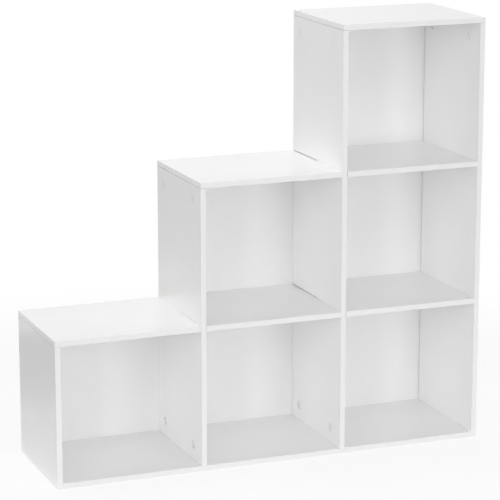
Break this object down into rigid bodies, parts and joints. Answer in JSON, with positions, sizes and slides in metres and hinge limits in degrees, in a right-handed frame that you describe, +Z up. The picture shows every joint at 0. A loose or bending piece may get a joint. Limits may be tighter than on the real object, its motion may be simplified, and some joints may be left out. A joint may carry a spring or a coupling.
{
  "type": "staircase bookshelf",
  "caption": "Free-standing staircase bookshelf of white faced board, with stepped columns of open cube compartments and nailed back panels.",
  "frame": {"origin": "on the floor, under the middle of the overall width and depth", "axes": "+X along the width, the way the stairs climb; +Y from the open front to the back; +Z up"},
  "size_m": [1.011, 0.283, 0.975],
  "materials": {
    "white_board": "matt white melamine facing on particle board",
    "white_edge_band": "satin white edge band",
    "white_hardboard": "white lacquered front, bare brown rear",
    "zinc_cam": "die-cast zinc alloy",
    "steel_bolt": "zinc plated steel",
    "white_cap": "moulded white plastic",
    "beech_dowel": "bare fluted beech",
    "steel_nail": "bright steel"
  },
  "bodies": {
    "root": {"left_side": "white_board", "low_upright": "white_board", "high_upright": "white_board", "right_side": "white_board", "bottom_board": "white_board", "first_step": "white_board", "second_step": "white_board", "top_board": "white_board", "left_side_band": "white_edge_band", "low_upright_band": "white_edge_band", "high_upright_band": "white_edge_band", "right_side_band": "white_edge_band", "bottom_board_front_band": "white_edge_band", "first_step_front_band": "white_edge_band", "first_step_left_band": "white_edge_band", "second_step_front_band": "white_edge_band", "second_step_left_band": "white_edge_band", "top_board_front_band": "white_edge_band", "top_board_left_band": "white_edge_band", "top_board_right_band": "white_edge_band", "low_back": "white_hardboard", "middle_back": "white_hardboard", "tall_back": "white_hardboard", "cam_locks": "zinc_cam", "cam_bolts": "steel_bolt", "cam_caps": "white_cap", "dowels": "beech_dowel", "back_nails": "steel_nail"}
  },
  "joints": []
}
